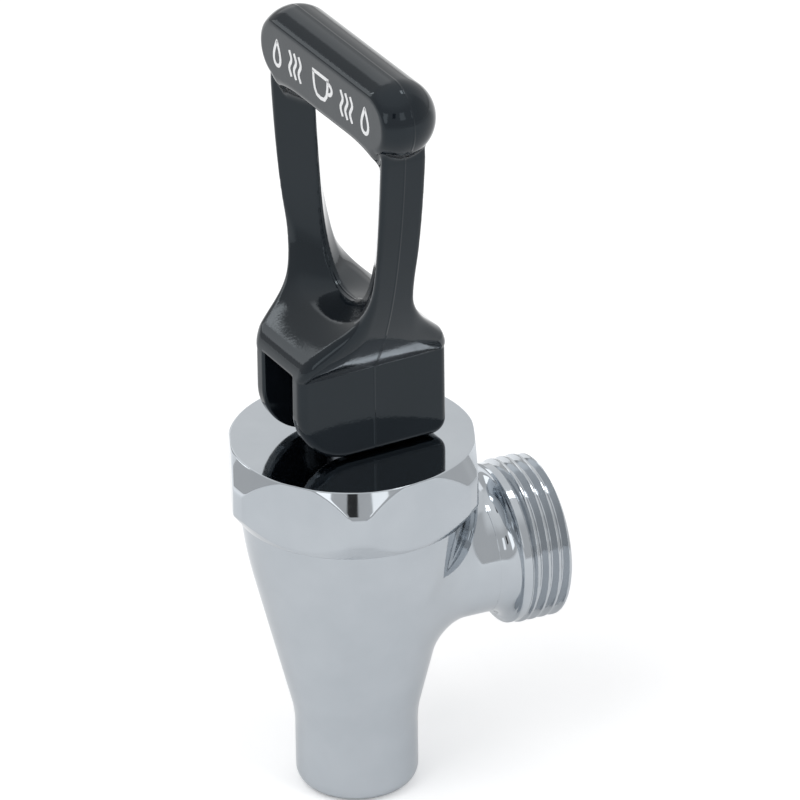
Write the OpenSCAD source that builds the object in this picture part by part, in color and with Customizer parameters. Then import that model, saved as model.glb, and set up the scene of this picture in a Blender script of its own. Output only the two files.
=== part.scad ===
// Self-closing boiler tap: a tapered barrel with a side inlet, a hexagon bonnet and a tilting lever.
// Millimetres. Z is up, Y runs along the inlet, and the origin is the middle of the spout's outlet.
// Heights in the outlines are counted from the inlet's centre line, and radii from the barrel's axis.

/* [Barrel and spout] */
// Distance from the spout's axis to the collar at the inlet's thread
inlet_reach = 24; // [22:0.5:30]
// Radius of the barrel where the bonnet sits on it
barrel_r = 17.9; // [17:0.1:18.6]
// Radius of the long curve that rounds the barrel off below the bonnet
belly_curve_r = 75; // [60:5:120]
// Slope of the barrel's cone from the upright, in degrees
cone_angle = 13.9; // [13:0.1:15]
// Outer radius of the spout
spout_r = 9.8; // [9.2:0.1:10.6]
// Radius of the hollow curve between the cone and the spout
spout_curve_r = 20; // [12:1:30]
// Depth of the spout's outlet below the inlet's centre line
spout_drop = 36.5; // [33:0.5:46]
// Radius of the spout's rounded lip
lip_r = 2.7; // [1.5:0.1:2.7]
// Radius of the spout's bore
spout_bore_r = 6.8; // [6.4:0.1:7]
// Radius of the throat below the valve seat
throat_r = 6.2; // [5:0.1:6.3]
// Length of the throat
throat_len = 4.5; // [3:0.5:8]
// Radius of the valve chamber
chamber_r = 11; // [10.6:0.1:11.6]
// Depth of the chamber's floor below the inlet's centre line
chamber_depth = 9.6; // [9:0.1:11]
// Height of the raised valve seat above the chamber's floor
seat_h = 1; // [0.4:0.1:1.4]
// Width of the raised seat's rim
seat_rim = 1.2; // [0.8:0.1:2]
// Width of the slope at the seat's inner edge
seat_slope = 0.4; // [0.2:0.1:0.6]

/* [Inlet] */
// Radius of the collar behind the thread
inlet_collar_r = 12.95; // [12.6:0.05:13.2]
// Width of the collar behind the thread
inlet_collar_w = 1.2; // [0.8:0.1:3]
// Radius over the inlet thread's crests
thread_r = 13.22; // [13:0.01:13.6]
// Distance between two crests
thread_pitch = 1.814; // [1.5:0.001:2]
// Depth of the thread
thread_depth = 1.16; // [0.8:0.01:1.3]
// Number of crests
thread_crests = 4; // [3:1:12]
// Radius of the inlet's end face
inlet_end_r = 12.2; // [11.5:0.1:12.6]
// Width of the flat on a crest
crest_w = 0.3; // [0.2:0.01:0.5]
// Radius of the neck behind the thread
neck_r = 10.45; // [9.8:0.05:11.5]
// Radius of the hollow curve between the neck and the thread
neck_curve_r = 2.9; // [2:0.1:4]
// Radius of the fillet between the neck and the barrel
joint_fillet_r = 4; // [2:0.1:4.5]
// Radius of the inlet's bore
inlet_bore_r = 8; // [7.4:0.1:8.4]
// Radius of the port from the bore into the chamber
inlet_port_r = 5.5; // [4:0.1:7]
// Distance from the spout's axis to the end of the bore
inlet_port_reach = 12.5; // [12:0.1:14]

/* [Bonnet] */
// Width across the bonnet's flats
bonnet_af = 38.5; // [38:0.1:39.5]
// Radius that the hexagon's corners are turned down to
bonnet_turned_r = 21.4; // [21:0.1:21.8]
// Radius of the flat top
bonnet_top_r = 19.35; // [18.8:0.05:20.3]
// Height of the turned slope at the top corners
bonnet_slope_h = 3.9; // [2:0.1:5]
// Height of the turned slope at the bottom corners
bonnet_under_h = 1.7; // [1:0.1:2.5]
// Height of the bonnet
bonnet_h = 12.2; // [11.6:0.1:14]
// Height of the barrel's shoulder, which the bonnet meets, above the inlet's centre line
shoulder_z = 12.9; // [12.4:0.1:16]
// Turn of the hexagon about the spout's axis, in degrees
bonnet_turn = 38.6; // [0:0.1:60]
// Thickness of the bonnet's top
bonnet_wall = 3; // [2.4:0.1:3.6]
// Radius of the spring's space in the bonnet
bonnet_well_r = 8.6; // [8.2:0.1:10]

/* [Collar under the bonnet] */
// Radius over the barrel's collar thread, inside the bonnet
collar_r = 16; // [15.6:0.1:16.4]
// Height of the collar above the shoulder
collar_h = 4.1; // [3.4:0.1:5]

/* [Valve] */
// Radius of the stem
stem_r = 4; // [3.6:0.1:4.2]
// Radius of the pin through the stem
pin_r = 1.6; // [1.2:0.05:1.9]
// Radius of the stem's shoulder, which carries the washer
stem_shoulder_r = 6.4; // [5.6:0.1:6.8]
// Thickness of the stem's shoulder
stem_shoulder_t = 1.6; // [1.2:0.1:2]
// Radius of the stem's button
button_r = 3.5; // [3:0.1:3.8]
// Thickness of the stem's button
button_t = 2.8; // [2:0.1:3]
// Radius of the neck above the button
button_neck_r = 2.2; // [1.8:0.1:2.5]
// Thickness of the spring washer
washer_t = 1; // [0.6:0.1:1.4]
// Outer radius of the spring washer
washer_r = 7.6; // [7.2:0.1:7.7]
// Radius of the spring's wire
wire_r = 0.65; // [0.4:0.05:0.7]
// Outer radius of the spring
spring_r = 7.2; // [6.6:0.1:7.4]
// Number of turns in the spring
spring_turns = 6.5; // [5:0.5:8]
// Outer radius of the seat cup
cup_r = 9.4; // [9.2:0.1:9.8]
// Wall of the seat cup
cup_wall = 1.3; // [1:0.1:1.3]
// Radius of the seat cup's clamped rim
cup_rim_r = 13.6; // [13:0.1:14]
// Thickness of the seat cup's clamped rim
cup_rim_t = 2; // [1.5:0.1:2.5]
// Height of the seat cup's floor above the middle of its round nose
cup_floor_h = 1.2; // [0.8:0.1:2]
// Thickness of the seat cup's lip that holds the button
cup_lip_t = 1.8; // [1.2:0.1:2]

/* [Handle] */
// Turn of the handle about the stem, in degrees
handle_turn = 4.4; // [-180:0.1:180]
// Gap between the handle's foot and the bonnet's top
foot_gap = 0.4; // [0.2:0.05:0.5]
// Half the width of the foot across its cheeks
foot_half_w = 7.6; // [7.4:0.1:8.6]
// Half the depth of the foot from front to back
foot_half_d = 13.1; // [12:0.1:14]
// Height of the foot's cheeks
cheek_h = 15; // [14.5:0.1:18]
// Radius of the foot's front lower corner, which rolls on the bonnet
cam_r = 9; // [7.5:0.1:9.5]
// Height of the pin above the foot's underside
pin_h = 7.5; // [6.5:0.1:8.5]
// Radius of the foot's rear lower corner
heel_r = 2.5; // [1.6:0.1:4]
// Radius of the foot's and legs' upright edges
edge_r = 1.3; // [0.8:0.1:1.5]
// Width of the slot between the cheeks
slot_w = 9.2; // [8.8:0.1:10]
// Height over which the roof narrows to the legs
roof_h = 15; // [13:0.5:17]
// Rounding of the roof's upright edges
roof_edge_r = 2.3; // [1.3:0.1:2.6]
// Height of the front edge of the foot's roof above the cheeks' top
roof_lip = 1.4; // [1.2:0.1:2.5]
// Height of the slot's ceiling above the cheeks' top
slot_over = 0.3; // [0:0.1:0.6]
// Half the depth of a leg from front to back
leg_half_d = 3.4; // [3:0.1:4]
// Half the width over the legs, at their top
legs_half_w = 18.3; // [17.5:0.1:19]
// Height of the legs' top above the cheeks
legs_h = 39.6; // [38:0.1:42]
// Height of the loop's lowest point above the cheeks
loop_rise = 9.1; // [8:0.1:11]
// Radius of the loop's rounded bottom
loop_r = 7.8; // [7:0.1:8.5]
// Radius of the loop's rounded bottom at the handle's front and back
loop_spread_r = 17; // [12:0.5:20]
// Slope of the loop's sides, so that the legs are sharpest in the middle: widening for each unit of depth
loop_spread = 1.72; // [1:0.02:1.8]
// Half the width of the loop at its top
loop_half_w = 10.9; // [10:0.1:11.5]
// Half the width of the loop at the middle of its sides
loop_middle_w = 9.9; // [9:0.1:10.5]
// Radius of the loop's upper corners
loop_corner_r = 3; // [2:0.1:4]
// Depth at which the pin sits in each cheek
pin_seat = 2.2; // [1.5:0.1:2.6]
// Radius of the grip bar
bar_r = 6.4; // [6:0.1:7]
// Half the length of the grip bar
bar_half_len = 21.5; // [21:0.1:24]
// Distance of the bar's flat front from its axis
bar_flat = 4.5; // [4:0.1:5.5]

/* [Clearances] */
// Gap between turning or sliding parts, on the radius
running_gap = 0.05; // [0.02:0.01:0.1]
// Gap between the bonnet's and the collar's threads, on the radius
thread_gap = 0.05; // [0.02:0.01:0.1]
// Gap around the soft seat cup
soft_gap = 0.15; // [0.1:0.05:0.3]
// Gap between the spring's ends and what they press on
spring_gap = 0.05; // [0.02:0.01:0.1]
// Gap between the stem's lower end and the seat cup
snap_gap = 0.3; // [0.2:0.05:0.4]
// Gap between the pin and its hole in the stem, on the radius
pin_gap = 0.02; // [0.02:0.01:0.05]
// Gap at each end of the pin
pin_end_gap = 0.2; // [0.1:0.05:0.4]

/* [Hidden] */
$fn = 96;

// Small overlap that makes cuts run clear through a face
past = 0.5;

// Heights
collar_top = shoulder_z + collar_h;
bonnet_top = shoulder_z + bonnet_h;
bonnet_ceiling = bonnet_top - bonnet_wall;
chamber_floor = -chamber_depth;
seat_z = chamber_floor + seat_h;
foot_z = bonnet_top + foot_gap;
pin_z = foot_z + pin_h;
cheek_top = foot_z + cheek_h;
roof_z = cheek_top + roof_lip;
legs_top = cheek_top + legs_h;
loop_z = cheek_top + loop_rise;
bar_z = legs_top + bar_r + 0.2;

// Barrel outline, from the shoulder down
belly_end_angle = 4.7;
belly_start_r = barrel_r - belly_curve_r * (cos(belly_end_angle) - cos(cone_angle));
belly_start_z = shoulder_z - belly_curve_r * (sin(cone_angle) - sin(belly_end_angle));
cone_foot_r = spout_r + spout_curve_r * (1 - cos(cone_angle));
cone_foot_z = belly_start_z - (belly_start_r - cone_foot_r) / tan(cone_angle);
spout_top_z = cone_foot_z - spout_curve_r * sin(cone_angle);
spout_z = -spout_drop;

// Radius of the seat's working edge, where the cup's nose closes it
seat_r = throat_r + seat_slope;
throat_z = chamber_floor - throat_len;
nose_z = seat_z + soft_gap + sqrt(pow(cup_r, 2) - pow(seat_r, 2));
cup_floor = nose_z + cup_floor_h;
shoulder_under = cup_floor + snap_gap;
button_z = cup_floor - cup_lip_t - snap_gap - button_t;
washer_z = shoulder_under + stem_shoulder_t + running_gap;
spring_z = washer_z + washer_t + spring_gap;
spring_len = bonnet_ceiling - spring_gap - spring_z;

// Depth to which the edges of the fillet at the inlet run into the metal
fillet_sink = 0.15;

// Thread outline
flank_w = (thread_pitch - crest_w) / 2 - 0.1;
thread_start = inlet_reach + inlet_collar_w + thread_pitch / 2;
thread_end = thread_start + (thread_crests - 1) * thread_pitch + crest_w;
inlet_end = thread_end + 0.55 * (thread_r - inlet_end_r);

// Distance from the spout's axis at which the neck starts, well inside the barrel
inner_y = 1;

function arc(cx, cy, r, a0, a1, n) = [
    for (i = [0 : n]) let (a = a0 + (a1 - a0) * i / n) [cx + r * cos(a), cy + r * sin(a)]
];

// Moves what is modelled from the inlet's centre line so that the origin is at the spout's outlet
module in_place() translate([0, 0, -spout_z]) children();

// Turns what belongs to the handle about the stem
module with_handle() in_place() rotate(handle_turn) children();

// Lays a revolved shape along the inlet
module along_inlet() rotate([-90, 0, 0]) children();

// Outer outline of the barrel and spout: radius against height
module barrel_outline()
    polygon(concat(
        [[0, collar_top], [collar_r, collar_top], [collar_r, shoulder_z]],
        arc(
            barrel_r - belly_curve_r * cos(belly_end_angle),
            shoulder_z + belly_curve_r * sin(belly_end_angle),
            belly_curve_r, -belly_end_angle, -cone_angle, 10
        ),
        arc(spout_r + spout_curve_r, spout_top_z, spout_curve_r, 180 - cone_angle, 180, 8),
        arc(spout_r - lip_r, spout_z + lip_r, lip_r, 0, -90, 12),
        [[0, spout_z]]
    ));

// Radius of the barrel's outside at a height on its cone or belly
function barrel_at(z) =
    z > belly_start_z
        ? barrel_r - belly_curve_r * cos(belly_end_angle)
            + sqrt(pow(belly_curve_r, 2) - pow(z - shoulder_z - belly_curve_r * sin(belly_end_angle), 2))
        : max(belly_start_r - (belly_start_z - z) * tan(cone_angle), spout_r);

// Reach of the barrel's surface along the inlet, at a distance t from the inlet's axis in direction a,
// sunk a little so that the fillet's edge runs into the metal
function wall_y(t, a) =
    sqrt(max(pow(barrel_at(t * sin(a)), 2) - pow(t * cos(a), 2), 0)) - fillet_sink;
function wall_slope(t, a) = (wall_y(t + 0.01, a) - wall_y(t - 0.01, a)) / 0.02;

// Distance t at which a ball in the corner touches the barrel, found by halving
function ball_t(a, lo, hi, n) =
    n == 0
        ? (lo + hi) / 2
        : let (m = (lo + hi) / 2, s = wall_slope(m, a), over = m - joint_fillet_r * s / sqrt(1 + s * s))
            over > neck_r - fillet_sink + joint_fillet_r
                ? ball_t(a, lo, m, n - 1)
                : ball_t(a, m, hi, n - 1);

// Fillet curve in direction a, from the neck to the barrel, as points [distance, reach]
function fillet_curve(a, n) =
    let (
        t = ball_t(a, neck_r * 0.5, neck_r + joint_fillet_r, 24),
        s = wall_slope(t, a),
        yc = wall_y(t, a) + joint_fillet_r / sqrt(1 + s * s),
        a1 = atan2(wall_y(t, a) - yc, t - neck_r + fillet_sink - joint_fillet_r)
    )
    arc(neck_r - fillet_sink + joint_fillet_r, yc, joint_fillet_r, 180, a1 < 0 ? a1 + 360 : a1, n);

// Solid that fills the corner between the neck and the barrel
module joint_fillet() {
    around = 40;
    steps = 5;
    turn = 360 / around;
    curves = [
        for (i = [0 : around - 1])
            [for (p = fillet_curve(i * turn, steps)) [p[0] * cos(i * turn), p[1], p[0] * sin(i * turn)]]
    ];
    rings = [for (k = [0 : steps]) [for (c = curves) c[k]]];
    tail = [for (c = curves) [c[steps][0] * 0.98, inner_y + 2, c[steps][2] * 0.98]];
    ends = [[0, inner_y + 2, 0], [0, inlet_reach - neck_curve_r, 0]];
    points = concat([for (r = rings) each r], tail, ends);
    last = around * (steps + 2);
    faces = concat(
        [for (k = [0 : steps], i = [0 : around - 1]) let (j = (i + 1) % around)
            each [
                [k * around + i, (k + 1) * around + j, k * around + j],
                [k * around + i, (k + 1) * around + i, (k + 1) * around + j]
            ]],
        [for (i = [0 : around - 1]) let (j = (i + 1) % around)
            [(steps + 1) * around + i, last, (steps + 1) * around + j]],
        [for (i = [0 : around - 1]) let (j = (i + 1) % around) [i, j, last + 1]]
    );
    polyhedron(points, faces);
}

// Outline of the inlet from the barrel to its end face: radius against distance from the spout's axis
module inlet_outline() {
    root_r = thread_r - thread_depth;
    root_w = thread_pitch - crest_w - 2 * flank_w;
    sweep = acos(1 - (inlet_collar_r - neck_r) / neck_curve_r);
    polygon(concat(
        [[0, inner_y], [neck_r, inner_y]],
        arc(
            neck_r + neck_curve_r, inlet_reach - neck_curve_r * sin(sweep),
            neck_curve_r, 180, 180 - sweep, 8
        ),
        [[inlet_collar_r, inlet_reach + inlet_collar_w]],
        [for (i = [0 : thread_crests - 1]) let (y = thread_start + i * thread_pitch)
            each [
                [root_r, y - flank_w - (i > 0 ? root_w : 0)], [root_r, y - flank_w],
                [thread_r, y], [thread_r, y + crest_w]
            ]],
        [[inlet_end_r, inlet_end], [0, inlet_end]]
    ));
}

// Valve seat: a raised rim with a sloped inner edge
module seat_rim_solid()
    rotate_extrude()
        polygon([
            [throat_r, chamber_floor - past], [throat_r, seat_z - seat_slope], [seat_r, seat_z],
            [seat_r + seat_rim, seat_z], [seat_r + seat_rim, chamber_floor - past]
        ]);

module body()
    color("silver") in_place() {
        difference() {
            union() {
                rotate_extrude() barrel_outline();
                along_inlet() rotate_extrude() inlet_outline();
                difference() {
                    joint_fillet();
                    translate([0, 0, shoulder_z]) cylinder(r = 2 * barrel_r, h = 2 * joint_fillet_r);
                }
            }
            translate([0, 0, chamber_floor]) cylinder(r = chamber_r, h = collar_top - chamber_floor + past);
            translate([0, 0, collar_top - cup_rim_t])
                cylinder(r = cup_rim_r + soft_gap, h = cup_rim_t + past);
            translate([0, 0, spout_z - past]) cylinder(r = spout_bore_r, h = throat_z - spout_z + past);
            translate([0, 0, throat_z - past]) cylinder(r = throat_r, h = throat_len + 2 * past);
            along_inlet() translate([0, 0, inlet_port_reach])
                cylinder(r = inlet_bore_r, h = inlet_end - inlet_port_reach + past);
            along_inlet() translate([0, 0, chamber_r / 2])
                cylinder(r = inlet_port_r, h = inlet_port_reach - chamber_r / 2 + past);
        }
        seat_rim_solid();
    }

// Outline that the bonnet's hexagon is turned to
module bonnet_turning()
    polygon([
        [0, shoulder_z], [bonnet_af / 2 - 0.1, shoulder_z],
        [bonnet_turned_r, shoulder_z + bonnet_under_h],
        [bonnet_turned_r, bonnet_top - bonnet_slope_h], [bonnet_top_r, bonnet_top], [0, bonnet_top]
    ]);

module bonnet()
    color("gainsboro") in_place() difference() {
        intersection() {
            rotate_extrude() bonnet_turning();
            translate([0, 0, shoulder_z - past])
                rotate(bonnet_turn) cylinder(r = bonnet_af / 2 / cos(30), h = bonnet_h + 2 * past, $fn = 6);
        }
        translate([0, 0, shoulder_z - past]) cylinder(r = collar_r + thread_gap, h = collar_h + past);
        translate([0, 0, collar_top - past])
            cylinder(r = bonnet_well_r, h = bonnet_ceiling - collar_top + past);
        translate([0, 0, bonnet_ceiling - past])
            cylinder(r = stem_r + running_gap, h = bonnet_wall + 2 * past);
    }

// Soft cup: a clamped rim, a thin skirt and a round nose that closes the seat
module seat_cup()
    color("whitesmoke") in_place() difference() {
        rotate_extrude()
            polygon(concat(
                [
                    [0, collar_top], [cup_rim_r, collar_top],
                    [cup_rim_r, collar_top - cup_rim_t], [cup_r + 1, collar_top - cup_rim_t]
                ],
                arc(cup_r + 1, collar_top - cup_rim_t - 1, 1, 90, 180, 4),
                arc(0, nose_z, cup_r, 0, -90, 20)
            ));
        translate([0, 0, cup_floor]) cylinder(r = cup_r - cup_wall, h = collar_top - cup_floor + past);
        translate([0, 0, cup_floor - cup_lip_t])
            cylinder(r = button_neck_r + snap_gap, h = cup_lip_t + past);
        translate([0, 0, button_z - snap_gap])
            cylinder(r = button_r + snap_gap, h = button_t + 2 * snap_gap);
    }

// Turned outline of the stem: radius against height
module stem_outline()
    polygon(concat(
        [
            [0, button_z], [button_r, button_z],
            [button_r, button_z + button_t], [button_neck_r, button_z + button_t],
            [button_neck_r, shoulder_under], [stem_shoulder_r, shoulder_under],
            [stem_shoulder_r, shoulder_under + stem_shoulder_t],
            [stem_r, shoulder_under + stem_shoulder_t]
        ],
        arc(0, pin_z, stem_r, 0, 90, 8)
    ));

module stem()
    color("darkkhaki") with_handle() difference() {
        rotate_extrude() stem_outline();
        translate([-stem_r - past, 0, pin_z]) rotate([0, 90, 0])
            cylinder(r = pin_r + pin_gap, h = 2 * (stem_r + past));
    }

module handle_pin()
    color("dimgray") with_handle()
        translate([-slot_w / 2 - pin_seat + pin_end_gap, 0, pin_z]) rotate([0, 90, 0])
            cylinder(r = pin_r, h = slot_w + 2 * (pin_seat - pin_end_gap));

module spring_washer()
    color("tan") in_place() translate([0, 0, washer_z]) difference() {
        cylinder(r = washer_r, h = washer_t);
        translate([0, 0, -past]) cylinder(r = stem_r + running_gap, h = washer_t + 2 * past);
    }

// Coil spring with closed ends, swept along a helix
module spring() {
    sides = 8;
    per_turn = 20;
    coil_r = spring_r - wire_r;
    count = round(spring_turns * per_turn);
    rise = spring_len - 2 * wire_r;
    flat_turn = 0.75;
    // Height along the coil: flat over the ends
    function coil_z(t) =
        wire_r + rise * min(max((t * spring_turns - flat_turn) / (spring_turns - 2 * flat_turn), 0), 1);
    points = [for (i = [0 : count]) let (a = 360 * spring_turns * i / count, z = coil_z(i / count))
        each [for (k = [0 : sides - 1]) let (b = 360 * k / sides)
            let (reach = coil_r + wire_r * cos(b))
            [reach * cos(a), reach * sin(a), z + wire_r * sin(b)]]];
    faces = concat(
        [[for (k = [0 : sides - 1]) k]],
        [for (i = [0 : count - 1], k = [0 : sides - 1]) let (j = (k + 1) % sides)
            [i * sides + k, (i + 1) * sides + k, (i + 1) * sides + j, i * sides + j]],
        [[for (k = [sides - 1 : -1 : 0]) count * sides + k]]
    );
    color("lightsteelblue") in_place() translate([0, 0, spring_z]) polyhedron(points, faces);
}

// Point on a cubic curve through four control points
function bezier(p, t) =
    pow(1 - t, 3) * p[0] + 3 * pow(1 - t, 2) * t * p[1] + 3 * (1 - t) * t * t * p[2] + pow(t, 3) * p[3];

// Outer edge of the legs seen from the front: half width against height
legs_curve = [
    [foot_half_w, cheek_top], [foot_half_w + 4.6, cheek_top + 6.2],
    [legs_half_w - 1.7, legs_top - 20], [legs_half_w, legs_top]
];

// Roof and legs seen from the side: half depth against height, from the roof's edge up to the legs
roof_curve = [
    [foot_half_d, roof_z], [foot_half_d - 4.5, roof_z + 4.5],
    [leg_half_d, roof_z + roof_h - 6], [leg_half_d, roof_z + roof_h]
];

// Half depth of the roof and legs at a height, found by halving along the curve
function roof_t(z, lo, hi, n) =
    let (m = (lo + hi) / 2)
    n == 0 ? m : bezier(roof_curve, m)[1] < z ? roof_t(z, m, hi, n - 1) : roof_t(z, lo, m, n - 1);
function roof_depth(z) =
    z <= roof_z ? foot_half_d
    : z >= roof_z + roof_h ? leg_half_d
    : bezier(roof_curve, roof_t(z, 0, 1, 20))[0];

// Radius of the handle's upright edges at a height: larger on the roof
function edge_at(z) = lookup(z, [
    [cheek_top, edge_r], [roof_z + 0.6, roof_edge_r],
    [roof_z + roof_h / 2, roof_edge_r], [roof_z + roof_h, edge_r]
]);

// One level of the handle: [half width, front depth, rear depth, height]
function foot_level(h) = [
    h < edge_r ? foot_half_w - edge_r + sqrt(pow(edge_r, 2) - pow(edge_r - h, 2)) : foot_half_w,
    h < cam_r ? foot_half_d - cam_r + sqrt(pow(cam_r, 2) - pow(cam_r - h, 2)) : foot_half_d,
    h < heel_r ? foot_half_d - heel_r + sqrt(pow(heel_r, 2) - pow(heel_r - h, 2)) : foot_half_d,
    foot_z + h
];
function leg_level(t) = let (p = bezier(legs_curve, t), d = roof_depth(p[1])) [p[0], d, d, p[1]];

levels = concat(
    [for (a = [0 : 10 : 90]) foot_level(edge_r * (1 - cos(a)))],
    [for (a = [40 : 10 : 90]) foot_level(cam_r * (1 - cos(a)))],
    [for (t = [0 : 0.035 : 1]) leg_level(t)],
    [[legs_half_w, leg_half_d, leg_half_d, bar_z - 2]]
);

// Rounded rectangle of one level, as a ring of points
function level_ring(l, n) =
    let (r = min(edge_at(l[3]), l[1] - 0.1))
    [for (c = [[1, 1, 0], [-1, 1, 90], [-1, -1, 180], [1, -1, 270]], i = [0 : n])
        let (a = c[2] + 90 * i / n, d = c[1] > 0 ? l[2] : l[1])
            [c[0] * (l[0] - r) + r * cos(a), c[1] * (d - r) + r * sin(a), l[3]]];

// Outer form of the handle's foot and legs, lofted through its levels
module handle_loft() {
    corner = 4;
    ring = 4 * (corner + 1);
    points = [for (l = levels) each level_ring(l, corner)];
    n = len(levels);
    faces = concat(
        [[for (k = [0 : ring - 1]) k]],
        [for (i = [0 : n - 2], k = [0 : ring - 1]) let (j = (k + 1) % ring)
            each [
                [i * ring + k, (i + 1) * ring + j, i * ring + j],
                [i * ring + k, (i + 1) * ring + k, (i + 1) * ring + j]
            ]],
        [[for (k = [ring - 1 : -1 : 0]) (n - 1) * ring + k]]
    );
    polyhedron(points, faces);
}

// Outline of the loop between the legs, grown by g at its sides: half width against height
module loop_outline(g, bottom_r, drop)
    hull() {
        translate([0, loop_z - drop + bottom_r]) circle(r = bottom_r, $fn = 48);
        for (side = [-1, 1]) {
            translate([side * (loop_middle_w + g - loop_corner_r), loop_z + 2 * loop_r])
                circle(r = loop_corner_r, $fn = 32);
            translate([side * (loop_half_w + g - loop_corner_r), legs_top + 0.3 + g - loop_corner_r])
                circle(r = loop_corner_r, $fn = 32);
        }
    }

// Loop between the legs: narrowest in the middle, wider towards the front and the back
module loop_void() {
    reach = 8;
    thin = 0.02;
    for (side = [-1, 1])
        hull() {
            rotate([90, 0, 0]) linear_extrude(thin, center = true) loop_outline(0, loop_r, 0);
            translate([0, side * reach, 0]) rotate([90, 0, 0]) linear_extrude(thin, center = true)
                loop_outline(loop_spread * reach, loop_spread_r, 1);
        }
}

// Grip bar with round ends and a flat front
module grip_bar()
    difference() {
        translate([0, 0, bar_z]) rotate([0, 90, 0]) rotate_extrude()
            polygon(concat(
                arc(0, bar_half_len - bar_r, bar_r, 90, 0, 12),
                arc(0, bar_r - bar_half_len, bar_r, 0, -90, 12)
            ));
        translate([-bar_half_len - past, -bar_flat - bar_r, bar_z - bar_r - past])
            cube([2 * (bar_half_len + past), bar_r, 2 * (bar_r + past)]);
    }

module handle()
    color("#2b2e31") with_handle() difference() {
        union() {
            difference() {
                handle_loft();
                loop_void();
            }
            grip_bar();
        }
        translate([-slot_w / 2, -foot_half_d - past, foot_z - past])
            cube([slot_w, foot_half_d + slot_w / 2 + past, cheek_h + slot_over + past]);
        translate([-slot_w / 2 - pin_seat, 0, pin_z]) rotate([0, 90, 0])
            cylinder(r = pin_r + running_gap, h = slot_w + 2 * pin_seat);
    }

body();
bonnet();
seat_cup();
spring();
spring_washer();
stem();
handle_pin();
handle();
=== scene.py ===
"""Water boiler tap: chromed body and bonnet, black lever with a grip bar. The origin is the spout's outlet."""

import math

import bmesh
import bpy
import numpy as np
from mathutils import Matrix, Vector


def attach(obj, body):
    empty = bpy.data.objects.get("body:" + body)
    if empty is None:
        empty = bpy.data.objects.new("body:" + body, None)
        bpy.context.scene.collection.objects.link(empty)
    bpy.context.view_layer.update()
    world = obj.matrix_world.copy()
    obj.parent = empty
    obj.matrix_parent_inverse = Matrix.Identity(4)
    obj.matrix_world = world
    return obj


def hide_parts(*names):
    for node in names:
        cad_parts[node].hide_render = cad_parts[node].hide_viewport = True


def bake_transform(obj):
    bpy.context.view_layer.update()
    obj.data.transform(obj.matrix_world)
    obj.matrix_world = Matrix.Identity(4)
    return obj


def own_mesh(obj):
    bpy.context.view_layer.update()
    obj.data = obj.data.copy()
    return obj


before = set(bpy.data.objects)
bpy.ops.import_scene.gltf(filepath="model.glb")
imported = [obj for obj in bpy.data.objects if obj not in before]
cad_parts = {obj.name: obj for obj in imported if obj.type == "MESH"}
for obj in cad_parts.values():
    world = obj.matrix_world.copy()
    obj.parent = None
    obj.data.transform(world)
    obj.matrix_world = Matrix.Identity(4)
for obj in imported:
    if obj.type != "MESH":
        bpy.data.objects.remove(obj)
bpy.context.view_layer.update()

# ---------------------------------------------------------------- sizes, in millimetres
# Heights in the fields below count from the inlet's centre line. The row frame's origin is the spout's outlet.
MM = 0.001
SPOUT_DROP = 36.5
HANDLE_TURN = math.radians(4.4)
BONNET_TURN = math.radians(38.6)

# heights on the handle: underside, top of the cheeks, top of the legs, bottom of the loop
FOOT_Z, CHEEK_TOP, LEGS_TOP, LOOP_Z = 25.5, 40.5, 80.1, 49.6
# grip bar: height of its axis, radius, half length, distance of the flat from the axis
BAR_Z, BAR_R, BAR_HALF, BAR_FLAT = 86.69, 6.39, 21.48, 4.5
PIN_Z, PIN_R, PIN_HALF = 33.0, 1.65, 6.8
SLOT_HALF = 4.6


# ---------------------------------------------------------------- field helpers
def round_max(a, b, r):
    """Intersection of two fields with a rounded outer edge."""
    return np.minimum(np.maximum(a, b), -r) + np.hypot(np.maximum(a + r, 0), np.maximum(b + r, 0))


def round_min(a, b, r):
    """Union of two fields with a fillet in the corner."""
    return np.maximum(r, np.minimum(a, b)) - np.hypot(np.maximum(r - a, 0), np.maximum(r - b, 0))


def smooth(x, x0, x1):
    t = np.clip((x - x0) / (x1 - x0), 0, 1)
    return t * t * (3 - 2 * t)


def curve_table(points, n=4000):
    """A Bezier curve as a table (height, value), for use with np.interp."""
    t = np.linspace(0, 1, n)[:, None]
    p = [np.array(q, float) for q in points]
    c = (1 - t) ** 3 * p[0] + 3 * (1 - t) ** 2 * t * p[1] + 3 * (1 - t) * t * t * p[2] + t ** 3 * p[3]
    return c[:, 1], c[:, 0]


def gradient(field, p, e=0.01):
    g = np.empty_like(p)
    for k in range(3):
        d = np.zeros(3)
        d[k] = e
        a, b = p + d, p - d
        g[:, k] = (field(a[:, 0], a[:, 1], a[:, 2]) - field(b[:, 0], b[:, 1], b[:, 2])) / (2 * e)
    return g


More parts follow.
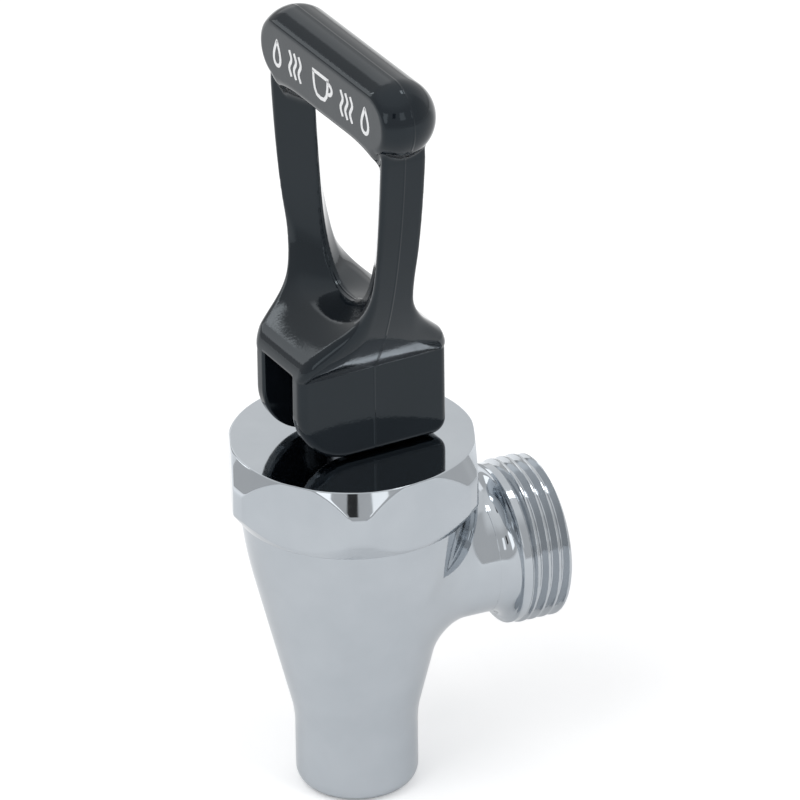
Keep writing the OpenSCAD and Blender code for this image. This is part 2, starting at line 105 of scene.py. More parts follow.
def net(field, low, high, step):
    """Surface net of field = 0: vertices set on the surface by Newton steps, quads, and the true normals."""
    low, high = np.array(low, float), np.array(high, float)
    n = np.ceil((high - low) / step).astype(int) + 1
    ax = [low[k] + step * np.arange(n[k]) for k in range(3)]
    grid = np.empty(n)
    for i in range(n[0]):
        y, z = np.meshgrid(ax[1], ax[2], indexing="ij")
        grid[i] = field(np.full_like(y, ax[0][i]), y, z)
    inside = grid < 0
    corner = [(i, j, k) for i in (0, 1) for j in (0, 1) for k in (0, 1)]
    cut = lambda a, c: a[c[0]:n[0] - 1 + c[0], c[1]:n[1] - 1 + c[1], c[2]:n[2] - 1 + c[2]]
    count = sum(cut(inside, c).astype(np.int8) for c in corner)
    cells = np.argwhere((count > 0) & (count < 8))
    ids = -np.ones(n - 1, int)
    ids[tuple(cells.T)] = np.arange(len(cells))
    total, hits = np.zeros((len(cells), 3)), np.zeros(len(cells))
    for c in corner:
        for k in range(3):
            if c[k]:
                continue
            d = list(c)
            d[k] = 1
            a = grid[tuple((cells + c).T)]
            b = grid[tuple((cells + d).T)]
            m = (a < 0) != (b < 0)
            t = np.where(m, a / np.where(m, a - b, 1), 0)
            point = np.array(c, float)[None, :].repeat(len(cells), 0)
            point[:, k] = t
            total[m] += point[m]
            hits += m
    verts = low + step * (cells + total / hits[:, None])
    start = verts.copy()
    for _ in range(4):
        g = gradient(field, verts)
        f = field(verts[:, 0], verts[:, 1], verts[:, 2])
        move = -(f / np.maximum((g * g).sum(1), 0.04))[:, None] * g
        verts += np.clip(move, -0.3 * step, 0.3 * step)
        verts = start + np.clip(verts - start, -0.7 * step, 0.7 * step)
    quads = []
    for k in range(3):
        a, b = (k + 1) % 3, (k + 2) % 3
        lo = [slice(None)] * 3
        hi = [slice(None)] * 3
        lo[k], hi[k] = slice(0, -1), slice(1, None)
        for q in (a, b):
            lo[q] = hi[q] = slice(1, -1)
        change = inside[tuple(lo)] != inside[tuple(hi)]
        at = np.argwhere(change)
        at[:, a] += 1
        at[:, b] += 1
        ring = []
        for da, db in ((-1, -1), (0, -1), (0, 0), (-1, 0)):
            c = at.copy()
            c[:, a] += da
            c[:, b] += db
            ring.append(ids[tuple(c.T)])
        q = np.stack(ring, 1)
        flip = ~inside[tuple(at.T)]
        q[flip] = q[flip][:, ::-1]
        quads.append(q)
    return verts, np.concatenate(quads), lambda p: unit(gradient(field, p))


def unit(v):
    return v / np.maximum(np.linalg.norm(v, axis=1), 1e-9)[:, None]


def to_row(verts, turn=0.0):
    """From millimetres about the inlet's centre line to metres in the row frame."""
    c, s = math.cos(turn), math.sin(turn)
    x = verts[:, 0] * c - verts[:, 1] * s
    y = verts[:, 0] * s + verts[:, 1] * c
    return np.stack([x, y, verts[:, 2] + SPOUT_DROP], 1) * MM


def turn_only(v, turn):
    c, s = math.cos(turn), math.sin(turn)
    return np.stack([v[:, 0] * c - v[:, 1] * s, v[:, 0] * s + v[:, 1] * c, v[:, 2]], 1)


def piece(name, verts, faces, material, normals=None):
    mesh = bpy.data.meshes.new(name)
    mesh.from_pydata([tuple(v) for v in verts.tolist()], [], [tuple(f) for f in faces])
    mesh.polygons.foreach_set("use_smooth", [True] * len(mesh.polygons))
    mesh.update()
    if normals is not None:
        mesh.normals_split_custom_set_from_vertices([tuple(v) for v in normals.tolist()])
    mesh.materials.append(material)
    obj = bpy.data.objects.new(name, mesh)
    bpy.context.scene.collection.objects.link(obj)
    return obj


# ---------------------------------------------------------------- materials
def material(name):
    m = bpy.data.materials.new(name)
    m.use_nodes = True
    return m, m.node_tree.nodes, m.node_tree.links, m.node_tree.nodes["Principled BSDF"]


def noise_of(nodes, links, scale, detail=3.0, stretch=(1, 1, 1)):
    """Noise over the object's own coordinates, in metres."""
    place = nodes.new("ShaderNodeTexCoord")
    mapping = nodes.new("ShaderNodeMapping")
    mapping.inputs["Scale"].default_value = stretch
    noise = nodes.new("ShaderNodeTexNoise")
    noise.inputs["Scale"].default_value = scale
    noise.inputs["Detail"].default_value = detail
    links.new(place.outputs["Object"], mapping.inputs["Vector"])
    links.new(mapping.outputs["Vector"], noise.inputs["Vector"])
    return noise.outputs["Fac"]


def ramp(nodes, links, fac, low, high, at=(0.3, 0.7)):
    r = nodes.new("ShaderNodeMapRange")
    r.inputs["From Min"].default_value, r.inputs["From Max"].default_value = at
    r.inputs["To Min"].default_value, r.inputs["To Max"].default_value = low, high
    links.new(fac, r.inputs["Value"])
    return r.outputs["Result"]


def math_node(nodes, links, operation, a, b):
    m = nodes.new("ShaderNodeMath")
    m.operation = operation
    for k, v in enumerate((a, b)):
        if isinstance(v, (int, float)):
            m.inputs[k].default_value = v
        else:
            links.new(v, m.inputs[k])
    return m.outputs["Value"]


def colour_ramp(nodes, links, fac, stops):
    r = nodes.new("ShaderNodeValToRGB")
    while len(r.color_ramp.elements) < len(stops):
        r.color_ramp.elements.new(0.5)
    for e, (at, c) in zip(r.color_ramp.elements, stops):
        e.position, e.color = at, (*c, 1)
    links.new(fac, r.inputs["Fac"])
    return r.outputs["Color"]


def bump(nodes, links, height, distance, under=None):
    b = nodes.new("ShaderNodeBump")
    b.inputs["Distance"].default_value = distance
    links.new(height, b.inputs["Height"])
    if under:
        links.new(under, b.inputs["Normal"])
    return b.outputs["Normal"]


def metal(name, low, high, rough, wave=0.00002, wave_scale=160, stretch=(1, 1, 1), grain=900):
    """Polished or drawn metal: slight cloudiness, roughness that varies, and a faint waviness of the polish."""
    m, nodes, links, out = material(name)
    out.inputs["Metallic"].default_value = 1.0
    cloud = noise_of(nodes, links, 120, 4, stretch)
    links.new(colour_ramp(nodes, links, cloud, [(0.25, low), (0.75, high)]), out.inputs["Base Color"])
    fine = noise_of(nodes, links, grain, 5, stretch)
    links.new(ramp(nodes, links, fine, *rough), out.inputs["Roughness"])
    swell = noise_of(nodes, links, wave_scale, 2, stretch)
    links.new(bump(nodes, links, swell, wave), out.inputs["Normal"])
    return m


CHROME = metal("chrome", (0.485, 0.52, 0.555), (0.53, 0.565, 0.60), (0.04, 0.085), wave=0.00003, wave_scale=110)
# the thread's chrome: rougher than the body's, with a slightly lighter and less blue base, a painted brightening of
# the thread's flanks
THREAD = metal("chrome_thread", (0.50, 0.53, 0.56), (0.54, 0.57, 0.60), (0.06, 0.12), wave=0.00002, wave_scale=500)
STEEL = metal("spring_steel", (0.42, 0.43, 0.45), (0.52, 0.53, 0.55), (0.18, 0.3), stretch=(1, 1, 6))
STEM = metal("stem_steel", (0.33, 0.34, 0.355), (0.43, 0.44, 0.455), (0.2, 0.32), stretch=(1, 1, 8))
PIN = metal("pin_steel", (0.36, 0.37, 0.39), (0.48, 0.49, 0.51), (0.2, 0.32), stretch=(8, 1, 1))


def black_plastic():
    m, nodes, links, out = material("black_plastic")
    cloud = noise_of(nodes, links, 90, 4)
    dark, light = (0.0045, 0.0065, 0.0090), (0.0060, 0.0082, 0.0112)
    links.new(colour_ramp(nodes, links, cloud, [(0.3, dark), (0.7, light)]), out.inputs["Base Color"])
    fine = noise_of(nodes, links, 1400, 5)
    links.new(ramp(nodes, links, fine, 0.045, 0.085), out.inputs["Roughness"])
    out.inputs["Specular IOR Level"].default_value = 0.43
    out.inputs["Specular Tint"].default_value = (0.80, 0.92, 1.0, 1)
    height = nodes.new("ShaderNodeMath")
    height.operation = "MULTIPLY_ADD"
    links.new(noise_of(nodes, links, 2600, 3), height.inputs[0])
    height.inputs[1].default_value = 0.25
    links.new(noise_of(nodes, links, 140, 2), height.inputs[2])
    grain = bump(nodes, links, height.outputs["Value"], 0.00003)
    # the fine line where the mould's halves met, along the handle's middle plane
    place = nodes.new("ShaderNodeTexCoord")
    across = nodes.new("ShaderNodeVectorMath")
    across.operation = "DOT_PRODUCT"
    across.inputs[1].default_value = (-math.sin(HANDLE_TURN), math.cos(HANDLE_TURN), 0)
    links.new(place.outputs["Object"], across.inputs[0])
    off = math_node(nodes, links, "ABSOLUTE", across.outputs["Value"], 0)
    seam = ramp(nodes, links, off, 1, 0, (0.00005, 0.00022))
    links.new(bump(nodes, links, seam, 0.00005, grain), out.inputs["Normal"])
    return m


def silicone():
    m, nodes, links, out = material("silicone")
    cloud = noise_of(nodes, links, 150, 4)
    links.new(colour_ramp(nodes, links, cloud, [(0.3, (0.72, 0.71, 0.66)), (0.7, (0.8, 0.79, 0.75))]),
              out.inputs["Base Color"])
    links.new(ramp(nodes, links, noise_of(nodes, links, 900, 4), 0.35, 0.5), out.inputs["Roughness"])
    out.inputs["Subsurface Weight"].default_value = 0.2
    out.inputs["Subsurface Scale"].default_value = 0.002
    links.new(bump(nodes, links, noise_of(nodes, links, 1200, 3), 0.00003), out.inputs["Normal"])
    return m


def print_white():
    m, nodes, links, out = material("print_white")
    cloud = noise_of(nodes, links, 1500, 4)
    links.new(colour_ramp(nodes, links, cloud, [(0.3, (0.72, 0.73, 0.74)), (0.7, (0.84, 0.85, 0.86))]),
              out.inputs["Base Color"])
    links.new(ramp(nodes, links, noise_of(nodes, links, 3000, 4), 0.3, 0.45), out.inputs["Roughness"])
    links.new(bump(nodes, links, noise_of(nodes, links, 5000, 3), 0.00001), out.inputs["Normal"])
    return m


PLASTIC, SILICONE, WHITE = black_plastic(), silicone(), print_white()

# ---------------------------------------------------------------- handle
# foot: half width, half depth; the legs' half depth; radii of the rolling front corner and of the heel
FOOT_W, FOOT_D, LEG_D, CAM_R, HEEL_R = 7.6, 13.1, 3.75, 9.0, 2.5
WIDTH = curve_table([(FOOT_W, CHEEK_TOP), (FOOT_W + 4.6, CHEEK_TOP + 6.2), (16.6, LEGS_TOP - 20), (18.3, LEGS_TOP)])
ROOF_TOP, ROOF_EDGE = 58, 1.8
LOOP_MID, LOOP_HALF, LOOP_POWER = 66, 9.6, 2.6


def roof_table(low, heights, steepness):
    """Half depth of the roof against height, from its steepness in degrees, smoothed over about 0.9 mm."""
    z = np.linspace(low, ROOF_TOP, 2000)
    reach = 60
    blur = np.ones(2 * reach + 1) / (2 * reach + 1)
    steep = np.convolve(np.pad(np.interp(z, heights, steepness), reach, "edge"), blur, "valid")
    depth = FOOT_D - np.concatenate([[0], np.cumsum(np.diff(z) / np.tan(np.radians(steep[:-1])))])
    return np.concatenate([[20.0], z]), np.concatenate([[FOOT_D + 18], np.maximum(depth, LEG_D)])


FRONT_ROOF = roof_table(43.4, (43.4, 45, 46.5, 48, 49.5, 51, 53, 55, 57.5), (54, 47, 45.5, 46, 49, 54, 63, 74, 88))
BACK_ROOF = roof_table(43.8, (43.8, 46.8, 48.8, 50.5, 51.5, 53, 54.5, 56.5), (50, 49, 46, 42, 44, 62, 80, 89))


def roof_side(y, z, table):
    """Field of one side of the roof."""
    slope = np.hypot(1, np.interp(z, table[0][1:], np.diff(table[1]) / np.diff(table[0]), right=0))
    return (np.abs(y) - np.interp(z, *table)) / slope


def handle_field(x, y, z):
    """x across the handle, y towards its back."""
    width = np.where(z < CHEEK_TOP, FOOT_W, np.interp(z, *WIDTH))
    roof = np.where(y < 0, roof_side(y, z, FRONT_ROOF), roof_side(y, z, BACK_ROOF))
    front = round_max(roof, np.abs(y) - FOOT_D, ROOF_EDGE)
    front = round_max(front, FOOT_Z - z, np.where(y < 0, CAM_R, HEEL_R))
    edge = 1.4 + 1.3 * smooth(z, 40.5, 44) - 1.8 * smooth(z, 46, 56)
    lean = np.hypot(1, np.interp(z, WIDTH[0][1:], np.diff(WIDTH[1]) / np.diff(WIDTH[0]), left=0, right=0))
    solid = round_max(front, (np.abs(x) - width) / lean, edge)
    # the loop between the legs: narrowest along the mould's parting line
    strip = 0.5 - 0.36 * smooth(z, 48, 76)
    t = np.hypot(np.maximum(np.abs(y) - strip, 0), 0.08) - 0.08
    spread = 1.86 - 0.66 * (1 - smooth(z, 50, 62)) * smooth(y, -0.4, 0.4)
    half = LOOP_HALF + 0.08 * (z - LOOP_MID) + spread * t
    below = np.maximum(LOOP_MID - z, 0) / (LOOP_MID - LOOP_Z + 0.3 * t)
    oval = ((np.abs(x) / half) ** LOOP_POWER + below ** LOOP_POWER) ** (1 / LOOP_POWER)
    loop = (oval - 1) * LOOP_HALF / (1 + smooth(z, 51, 60))
    solid = round_max(solid, -loop, 2.8 - 2.5 * smooth(z, 44, 64))
    solid = np.maximum(solid, z - (BAR_Z - 2))
    # grip bar, and its flat front, which fades out below the bar
    bar = np.sqrt(np.maximum(np.abs(x) - BAR_HALF + BAR_R, 0) ** 2 + y ** 2 + (z - BAR_Z) ** 2) - BAR_R
    solid = round_min(solid, bar, 2.8 - 2.3 * smooth(np.abs(x), 14.5, 17.5))
    solid = round_max(solid, -BAR_FLAT - 30 * smooth(-z, -76, -70) - y, 0.4)
    # slot for the stem and pockets for the pin
    slot = np.maximum(np.maximum(np.abs(x) - SLOT_HALF, y - SLOT_HALF), z - (CHEEK_TOP + 0.3))
    solid = round_max(solid, -slot, 0.5)
    pocket = np.maximum(np.hypot(y, z - PIN_Z) - PIN_R, np.abs(x) - PIN_HALF)
    return np.maximum(solid, -pocket)


def make_handle():
    step = 0.37
    verts, faces, normal = net(handle_field, (-22, -13.6, 25.0), (22, 13.6, 93.6), step)
    normals = turn_only(normal(verts), HANDLE_TURN)
    obj = piece("handle_moulding", to_row(verts, HANDLE_TURN), faces, PLASTIC, normals)
    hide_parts("handle")
    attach(obj, "handle")


# ---------------------------------------------------------------- body
BARREL_R, SPOUT_R, NECK_R, COLLAR_R = 17.9, 9.8, 10.5, 16
SHOULDER_Z, COLLAR_TOP, CHAMBER_FLOOR, THROAT_Z = 12.9, 17.0, -9.6, -14.1
CHAMBER_R, THROAT_R, OUTLET_R, INLET_BORE_R, PORT_R = 11, 6.2, 6.8, 8.0, 5.5
SEAT_IN, SEAT_OUT, SEAT_H = 6.4, 7.8, 1.0
LIP_R, NECK_FILLET = 2.7, 4.0


def barrel_radius():
    """The barrel's radius against height: belly arc, cone, concave curve, spout."""
    end, cone, belly_r, foot_r = math.radians(4.7), math.radians(13.9), 75.0, 20.0
    a = np.linspace(0, 1, 2000)
    ang = -end + a * (end - cone)
    belly = np.stack([BARREL_R - belly_r * math.cos(end) + belly_r * np.cos(ang),
                      SHOULDER_Z + belly_r * math.sin(end) + belly_r * np.sin(ang)], 1)
    r0, z0 = belly[-1]
    r1 = SPOUT_R + foot_r * (1 - math.cos(cone))
    z1 = z0 - (r0 - r1) / math.tan(cone)
    top = z1 - foot_r * math.sin(cone)
    ang = math.pi - cone + a * cone
    foot = np.stack([SPOUT_R + foot_r + foot_r * np.cos(ang), top + foot_r * np.sin(ang)], 1)
    line = np.stack([r0 + (r1 - r0) * a[1:-1], z0 + (z1 - z0) * a[1:-1]], 1)
    tail = np.array([[SPOUT_R, -60.0]])
    rz = np.concatenate([belly, line, foot, tail])[::-1]
    return rz[:, 1], rz[:, 0]


BARREL = barrel_radius()


def body_field(x, y, z):
    r = np.hypot(x, y)
    lean = np.hypot(1, np.interp(z, BARREL[0][1:], np.diff(BARREL[1]) / np.diff(BARREL[0])))
    barrel = (r - np.interp(z, *BARREL)) / lean
    barrel = round_max(barrel, -SPOUT_DROP - z, LIP_R)
    barrel = round_max(barrel, z - SHOULDER_Z, 0.2)
    barrel = np.minimum(barrel, np.maximum(np.maximum(r - COLLAR_R, z - COLLAR_TOP), SHOULDER_Z - 1 - z))
    neck = np.maximum(np.hypot(x, z) - NECK_R, -y)
    neck = np.maximum(neck, y - 21.8)
    solid = np.where(z < SHOULDER_Z, round_min(barrel, neck, NECK_FILLET), barrel)
    chamber = np.maximum(r - CHAMBER_R, CHAMBER_FLOOR - z)
    rim = np.maximum(np.maximum(r - SEAT_OUT, SEAT_IN - r), z - (CHAMBER_FLOOR + SEAT_H))
    void = np.minimum(np.maximum(chamber, -rim), r - np.where(z > THROAT_Z, THROAT_R, OUTLET_R))
    solid = round_max(solid, -void, 0.35)
    bore = np.hypot(x, z)
    inlet = np.minimum(np.maximum(bore - INLET_BORE_R, 12.5 - y), np.maximum(bore - PORT_R, 5 - y))
    return np.maximum(solid, -inlet)


def make_body():
    step = 0.45
    verts, faces, normal = net(body_field, (-18.9, -18.9, -37.0), (18.9, 22.6, 17.5), step)
    obj = piece("body_casting", to_row(verts), faces, CHROME, normal(verts))
    inlet = make_inlet()
    for o in (obj, inlet):
        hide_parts("body")
        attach(o, "tap")


# along the inlet: where its lathed piece starts, the collar, the thread and the end face
INLET_Y, COLLAR_Y, THREAD_Y, INLET_END = 20.8, 24.0, 25.2, 32.41
PITCH, CREST_R, DEPTH, FIRST_CREST, CREST_W = 1.814, 13.22, 1.16, 26.257, 0.3
FLANGE_R, SWEEP_R, END_R = 12.95, 2.9, 12.2


def inlet_radius(a, y):
    """Outer radius of the inlet at angle a about its axis: neck, collar and a helical thread."""
    sweep = SWEEP_R - np.sqrt(np.maximum(SWEEP_R ** 2 - np.maximum(y - COLLAR_Y + 2.68, 0) ** 2, 0))
    r = np.minimum(NECK_R + 0.01 + sweep, FLANGE_R)
    r = np.where(y > COLLAR_Y, FLANGE_R, r)
    turns = (y - FIRST_CREST) / PITCH - a / (2 * math.pi)
    off = np.abs(turns - np.round(turns)) * PITCH
    tooth = CREST_R - np.clip((off - CREST_W / 2) / (PITCH / 2 - CREST_W / 2 - 0.1), 0, 1) * DEPTH
    fade = smooth(y, THREAD_Y, THREAD_Y + 0.55)
    r = np.where(y > THREAD_Y, FLANGE_R + (tooth - FLANGE_R) * fade, r)
    return np.minimum(r, END_R + (INLET_END - y) / 0.55)


def make_inlet():
    around, n = ((288, 150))
    ys = np.concatenate([np.linspace(INLET_Y, THREAD_Y, n // 4, endpoint=False), np.linspace(THREAD_Y, INLET_END, n)])
    a = np.linspace(0, 2 * math.pi, around, endpoint=False)
    rings = []
    for y in ys:
        r = inlet_radius(a, y)
        rings.append(np.stack([r * np.cos(a), np.full(around, y), r * np.sin(a)], 1))
    for r, y in ((INLET_BORE_R + 0.3, INLET_END), (INLET_BORE_R, INLET_END - 0.3), (INLET_BORE_R, INLET_Y)):
        rings.append(np.stack([r * np.cos(a), np.full(around, y), r * np.sin(a)], 1))
    obj = lathe_rings("inlet_thread", rings, CHROME, hard=(len(ys) - 1, len(ys)))
    obj.data.materials.append(THREAD)
    for face in obj.data.polygons:
        face.material_index = int(face.center.y > THREAD_Y * MM)
    return obj


def ring_faces(rings):
    """Faces of a skin over equal rings of points, from the last ring back to the first."""
    around = len(rings[0])
    k = np.arange(around)
    nxt = (k + 1) % around
    faces = []
    for i in range(len(rings)):
        a, b = i * around, (i + 1) % len(rings) * around
        faces += np.stack([a + k, a + nxt, b + nxt, b + k], 1).tolist()
    return faces


def lathe_rings(name, rings, mat, hard=()):
    """A skin over equal rings of points. Edges of the rings in hard stay crisp."""
    around = len(rings[0])
    obj = piece(name, to_row(np.concatenate(rings)), ring_faces(rings), mat)
    bm = bmesh.new()
    bm.from_mesh(obj.data)
    bmesh.ops.recalc_face_normals(bm, faces=bm.faces)
    bm.edges.ensure_lookup_table()
    for e in bm.edges:
        i, j = (v.index // around for v in e.verts)
        if i == j and i in hard:
            e.smooth = False
    bm.to_mesh(obj.data)
    bm.free()
    return obj


# ---------------------------------------------------------------- bonnet
HEX_AF, TURNED_R, TOP_R, UNDER_R, BONNET_TOP = 38.5, 21.4, 19.35, 18.7, 25.1
TOP_TURNED_H, UNDER_TURNED_H, FACE_EDGE = 3.86, 3.7, 0.18
STEM_HOLE_R, CEILING_Z, WELL_R, THREAD_BORE_R = 4.05, 22.1, 8.6, 16.05


def bonnet_outer(r, a, z):
    """Field of the bonnet's outside at radius r and angle a."""
    side = (a - BONNET_TURN) % (math.pi / 3) - math.pi / 6
    flat = r * np.cos(side) - HEX_AF / 2
    top_slope = math.atan2(TURNED_R - TOP_R, TOP_TURNED_H)
    turned = r - TURNED_R
    upper = (r - TOP_R) * math.cos(top_slope) + (z - BONNET_TOP) * math.sin(top_slope)
    under_slope = math.atan2(TURNED_R - UNDER_R, UNDER_TURNED_H)
    lower = (r - UNDER_R) * math.cos(under_slope) - (z - SHOULDER_Z) * math.sin(under_slope)
    turned = round_max(round_max(turned, upper, 0.3), lower, 0.3)
    f = round_max(turned, flat, 0.22)
    return round_max(round_max(f, z - BONNET_TOP, FACE_EDGE), SHOULDER_Z - z, FACE_EDGE)


def make_bonnet():
    around = 768
    a = np.linspace(0, 2 * math.pi, around, endpoint=False)
    top = BONNET_TOP - FACE_EDGE * (1 - np.sin(np.linspace(0, math.pi / 2, 5)))
    sides = np.linspace(SHOULDER_Z + 0.2, BONNET_TOP - 0.2, 92)
    zs = np.concatenate([SHOULDER_Z + BONNET_TOP - top[::-1], sides, top])
    rings, normals = [], []
    for z in zs:
        lo, hi = np.full(around, 10.0), np.full(around, 24.0)
        for _ in range(40):
            mid = (lo + hi) / 2
            out = bonnet_outer(mid, a, z) > 0
            hi, lo = np.where(out, mid, hi), np.where(out, lo, mid)
        r = (lo + hi) / 2
        rings.append(np.stack([r * np.cos(a), r * np.sin(a), np.full(around, z)], 1))

    def field(x, y, z):
        return bonnet_outer(np.hypot(x, y), np.arctan2(y, x), z)

    for ring in rings:
        normals.append(unit(gradient(field, ring, 0.004)))
    # radius, height and normal at: flat top, stem hole, ceiling, well, thread bore and under face
    close = 0.01
    inner = [(STEM_HOLE_R + 0.2, BONNET_TOP, 0, 1), (STEM_HOLE_R, BONNET_TOP - 0.2, -1, 0),
             (STEM_HOLE_R, CEILING_Z, -1, 0), (STEM_HOLE_R + close, CEILING_Z, 0, -1),
             (WELL_R - close, CEILING_Z, 0, -1), (WELL_R, CEILING_Z, -1, 0),
             (WELL_R, COLLAR_TOP, -1, 0), (WELL_R + close, COLLAR_TOP, 0, -1),
             (THREAD_BORE_R - close, COLLAR_TOP, 0, -1), (THREAD_BORE_R, COLLAR_TOP - close, -1, 0),
             (THREAD_BORE_R, SHOULDER_Z + close, -1, 0), (THREAD_BORE_R + close, SHOULDER_Z, 0, -1)]
    for r, z, nr, nz in inner:
        rings.append(np.stack([r * np.cos(a), r * np.sin(a), np.full(around, z)], 1))
        normals.append(np.stack([nr * np.cos(a), nr * np.sin(a), np.full(around, float(nz))], 1))
    obj = piece("bonnet_hexagon", to_row(np.concatenate(rings)), ring_faces(rings), CHROME, np.concatenate(normals))
    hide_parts("bonnet")
    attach(obj, "tap")


# ---------------------------------------------------------------- generic marks on the grip
MARK_LINE, MARK_PROUD, MARK_SUNK = 0.62, 0.04, 0.05


def stroke(points, width, closed=False):
    """A flat band along points (across, up), as vertices and faces, proud of the grip's flat face."""
    p = np.array(points, float)
    d = (np.roll(p, -1, 0) - np.roll(p, 1, 0)) if closed else np.gradient(p, axis=0)
    d /= np.linalg.norm(d, axis=1)[:, None]
    n = np.stack([-d[:, 1], d[:, 0]], 1) * width / 2
    rows = []
    sunk, proud = -BAR_FLAT + MARK_SUNK, -BAR_FLAT - MARK_PROUD
    for q, y in ((p + n, sunk), (p + n, proud), (p - n, proud), (p - n, sunk)):
        rows.append(np.stack([q[:, 0], np.full(len(q), y), BAR_Z + q[:, 1]], 1))
    m = len(p)
    verts = np.concatenate(rows)
    faces = []
    for i in range(m if closed else m - 1):
        j = (i + 1) % m
        for s in range(4):
            t = (s + 1) % 4
            faces.append([s * m + i, s * m + j, t * m + j, t * m + i])
    if not closed:
        faces += [[0, m, 2 * m, 3 * m], [4 * m - 1, 3 * m - 1, 2 * m - 1, m - 1]]
    return verts, faces


def drop_mark(cx):
    t = np.linspace(0, 2 * math.pi, 49)[:-1]
    return [(cx + 1.45 * math.sin(a) * math.sin(a / 2) ** 1.3, 2.1 * math.cos(a)) for a in t]


def steam_mark(cx):
    t = np.linspace(-2.15, 2.15, 25)
    return [[(cx + dx + 0.35 * math.sin(v * 1.9), v) for v in t] for dx in (-1.5, 0, 1.5)]


def cup_mark():
    side = [(2.3, 1.9), (2.2, 0.4), (1.9, -0.9), (1.2, -1.75)]
    bowl = [(-x, z) for x, z in side] + [(0, -1.95)] + side[::-1]
    ear = [(2.2 + 1.35 * math.sin(a), 0.55 + 0.95 * math.cos(a)) for a in np.linspace(0.15, math.pi - 0.15, 17)]
    bowl = np.array(bowl)
    s = np.linspace(0, 1, len(bowl))
    fine = np.linspace(0, 1, 33)
    bowl = [(float(np.interp(v, s, bowl[:, 0])), float(np.interp(v, s, bowl[:, 1]))) for v in fine]
    return [bowl, ear, [(x, 1.95) for x in np.linspace(-2.6, 2.6, 9)]]


def make_marks():
    lines = [(drop_mark(-14.0), True), (drop_mark(14.0), True)]
    lines += [(s, False) for cx in (-8.2, 8.2) for s in steam_mark(cx)]
    lines += [(s, False) for s in cup_mark()]
    verts, faces, start = [], [], 0
    for points, closed in lines:
        v, f = stroke(points, MARK_LINE, closed)
        verts.append(v)
        faces += [[i + start for i in g] for g in f]
        start += len(v)
    obj = piece("grip_marks", to_row(np.concatenate(verts), HANDLE_TURN), faces, WHITE)
    obj.data.polygons.foreach_set("use_smooth", [False] * len(obj.data.polygons))
    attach(obj, "handle")


def flexing(name, node, mat):
    """A copy of a node, in the node's place and with a new material; the node itself is hidden."""
    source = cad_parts[node]
    obj = bpy.data.objects.new(name, source.data.copy())
    obj.data.transform(source.matrix_world)
    bpy.context.scene.collection.objects.link(obj)
    obj.data.materials.clear()
    obj.data.materials.append(mat)
    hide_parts(node)
    return obj


def make_flexing():
    """Copies of the spring and the seat cup with new materials: the spring joins the tap with a mesh of its own, and
    the cup's placement is baked into its mesh. On the real tap the spring shortens against the bonnet and the cup's
    nose lifts while its rim stays clamped.
    """
    spring = flexing("coil_spring", "spring", STEEL)
    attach(spring, "tap")
    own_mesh(spring)
    cup = flexing("cup_moulding", "seat_cup", SILICONE)
    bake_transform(cup)


make_handle()
make_body()
make_bonnet()
make_marks()
make_flexing()

for node, mat in (("spring_washer", STEEL), ("stem", STEM), ("handle_pin", PIN)):
    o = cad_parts[node]
    o.data.materials.clear()
    o.data.materials.append(mat)

# ---------------------------------------------------------------- camera at the photograph's angle
back = Vector((0.8067, -0.3665, 0.4636)).normalized()
right = Vector((0.4191, 0.9079, -0.0115))
right = (right - right.dot(back) * back).normalized()
up = back.cross(right)
camera = bpy.data.objects.new("camera", bpy.data.cameras.new("camera"))
camera.data.sensor_width = 36.0
camera.data.lens = 398.2
camera.data.clip_start, camera.data.clip_end = 0.05, 20
place = (back * 1400 + right * 7.241 + up * 27.668 + Vector((0, 0, SPOUT_DROP))) * MM
camera.matrix_world = Matrix([(right[k], up[k], back[k], place[k]) for k in range(3)] + [(0, 0, 0, 1)])
bpy.context.scene.collection.objects.link(camera)
bpy.context.scene.camera = camera


# ---------------------------------------------------------------- floor and light
def make_floor():
    half = 6.0
    verts = np.array([[-half, -half, 0], [half, -half, 0], [half, half, 0], [-half, half, 0]])
    m, nodes, links, out = material("floor_paper")
    out.inputs["Roughness"].default_value = 0.9
    out.inputs["Specular IOR Level"].default_value = 0.1
    cloud = noise_of(nodes, links, 6, 3)
    links.new(colour_ramp(nodes, links, cloud, [(0.2, (0.88, 0.885, 0.895)), (0.8, (0.9, 0.905, 0.91))]),
              out.inputs["Base Color"])
    # seen by the camera the floor is near white; for mirrored rays only the floor glows, a painted reflection, faint
    # everywhere and brighter at the back of the tap
    path = nodes.new("ShaderNodeLightPath")
    seen = math_node(nodes, links, "MULTIPLY", path.outputs["Is Camera Ray"], 0.25)
    place = nodes.new("ShaderNodeTexCoord")
    parts = nodes.new("ShaderNodeSeparateXYZ")
    links.new(place.outputs["Object"], parts.inputs["Vector"])
    # painted reflection: emission seen only in mirrored rays, rising towards -X at the back of the tap
    painted_reflection_strength = ramp(nodes, links, parts.outputs["X"], 0.03, 0.42, (-0.05, -0.2))
    mirrored = math_node(nodes, links, "MULTIPLY", path.outputs["Is Glossy Ray"], painted_reflection_strength)
    out.inputs["Emission Color"].default_value = (1, 1, 1, 1)
    links.new(math_node(nodes, links, "ADD", seen, mirrored), out.inputs["Emission Strength"])
    obj = piece("floor", verts, [[0, 1, 2, 3]], m)


def area_light(name, azimuth, elevation, distance, size, power, target=(0, 0, 0.06)):
    """A soft lamp aimed at the tap. Azimuth 0 is in front of it. Mirrored rays don't see it."""
    a, e = math.radians(azimuth), math.radians(elevation)
    direction = Vector((math.sin(a) * math.cos(e), -math.cos(a) * math.cos(e), math.sin(e)))
    lamp = bpy.data.lights.new(name, "AREA")
    lamp.shape = "RECTANGLE"
    lamp.size, lamp.size_y = size
    lamp.energy = power
    obj = bpy.data.objects.new(name, lamp)
    obj.location = Vector(target) + direction * distance
    obj.rotation_euler = (-direction).to_track_quat("-Z", "Y").to_euler()
    obj.visible_glossy = False
    bpy.context.scene.collection.objects.link(obj)


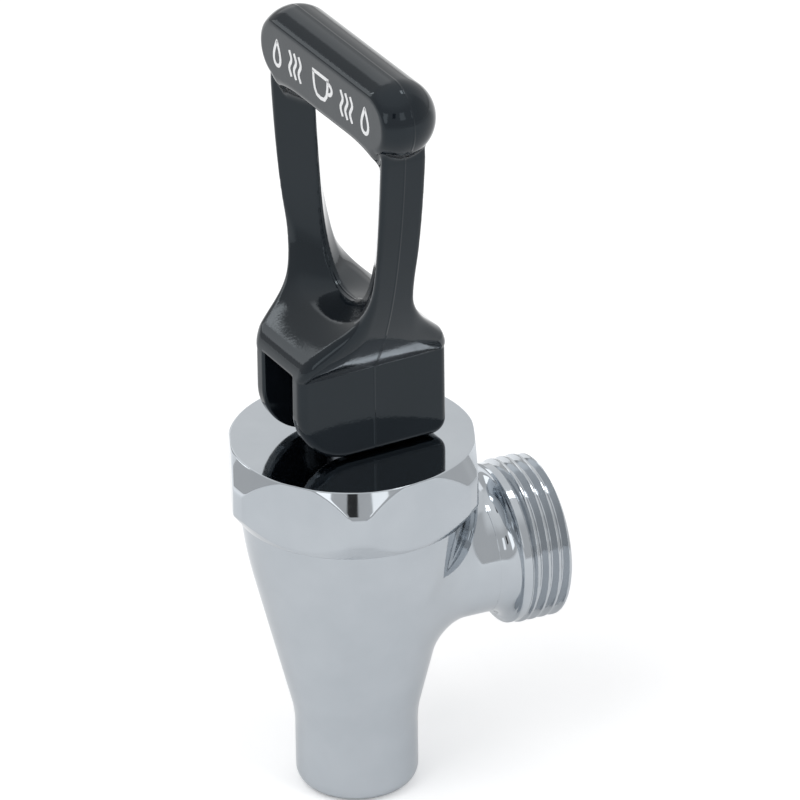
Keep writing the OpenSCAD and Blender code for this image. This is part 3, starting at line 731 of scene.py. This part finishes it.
def window(nodes, links, angle, middle, half, soft):
    """1 inside middle +- half degrees, falling to 0 over soft degrees."""
    off = nodes.new("ShaderNodeMath")
    off.operation = "WRAP"
    links.new(math_node(nodes, links, "SUBTRACT", angle, math.radians(middle)), off.inputs[0])
    off.inputs[1].default_value, off.inputs[2].default_value = math.pi, -math.pi
    size = math_node(nodes, links, "ABSOLUTE", off.outputs["Value"], 0)
    r = nodes.new("ShaderNodeMapRange")
    r.interpolation_type = "SMOOTHSTEP"
    r.inputs["From Min"].default_value = math.radians(half)
    r.inputs["From Max"].default_value = math.radians(half + soft)
    r.inputs["To Min"].default_value, r.inputs["To Max"].default_value = 1, 0
    links.new(size, r.inputs["Value"])
    return r.outputs["Result"]


# What polished surfaces see of the studio: (azimuth, half width, elevation, half height, soft edge, brightness).
# Azimuth counts from +X towards +Y.
STUDIO = [
    (130, 34, 30, 20, 10, 0.9),
    (172, 9, 30, 13, 5, 1.3),
    (-54, 8.5, 19, 12, 2, 1.75),
    (0.5, 6.5, 25, 9, 2, 1.5),
    (-146, 10, 19.5, 11, 0.8, 1.8),
    (-150.4, 1.9, 34.8, 3.4, 0.5, 3.8),
    (100.5, 13, 67.5, 4, 1.0, 5.4),
    (-24.5, 4, 28, 6, 1.5, 0.04),
]


# The rest of it: (height as a share, from straight down to straight up, brightness).
WALL = [(0.0, 0.92), (0.39, 0.9), (0.43, 0.66), (0.5, 0.62), (0.72, 0.64), (0.82, 0.9), (1.0, 1.0)]
DIFFUSE_LEVEL, SEEN_LEVEL = 0.72, 1.0


def make_world():
    """Plain light on the object, white for the camera, and the studio in mirrored rays."""
    world = bpy.data.worlds.new("studio")
    bpy.context.scene.world = world
    world.use_nodes = True
    nodes, links = world.node_tree.nodes, world.node_tree.links
    background = nodes["Background"]
    place = nodes.new("ShaderNodeTexCoord")
    parts = nodes.new("ShaderNodeSeparateXYZ")
    links.new(place.outputs["Generated"], parts.inputs["Vector"])
    azimuth = math_node(nodes, links, "ARCTAN2", parts.outputs["Y"], parts.outputs["X"])
    elevation = math_node(nodes, links, "ARCSINE", parts.outputs["Z"], 0)
    half_turn = math_node(nodes, links, "DIVIDE", elevation, math.pi)
    share = math_node(nodes, links, "ADD", half_turn, 0.5)
    value = colour_ramp(nodes, links, share, [(at, (v, v, v)) for at, v in WALL])
    for az, half_az, el, half_el, soft, bright in STUDIO:
        mask = math_node(nodes, links, "MULTIPLY", window(nodes, links, azimuth, az, half_az, soft),
                         window(nodes, links, elevation, el, half_el, soft))
        mix = nodes.new("ShaderNodeMix")
        links.new(mask, mix.inputs["Factor"])
        links.new(value, mix.inputs["A"])
        mix.inputs["B"].default_value = bright
        value = mix.outputs["Result"]
    path = nodes.new("ShaderNodeLightPath")
    glossy = nodes.new("ShaderNodeMix")
    links.new(path.outputs["Is Glossy Ray"], glossy.inputs["Factor"])
    glossy.inputs["A"].default_value = DIFFUSE_LEVEL
    links.new(value, glossy.inputs["B"])
    seen = nodes.new("ShaderNodeMix")
    links.new(path.outputs["Is Camera Ray"], seen.inputs["Factor"])
    links.new(glossy.outputs["Result"], seen.inputs["A"])
    seen.inputs["B"].default_value = SEEN_LEVEL
    links.new(seen.outputs["Result"], background.inputs["Color"])


make_floor()
make_world()
area_light("key", 20, 55, 0.9, (0.5, 0.5), 2.4)
area_light("side", 115, 35, 0.9, (0.3, 0.7), 1.6)

bpy.context.scene.view_settings.view_transform = "Standard"
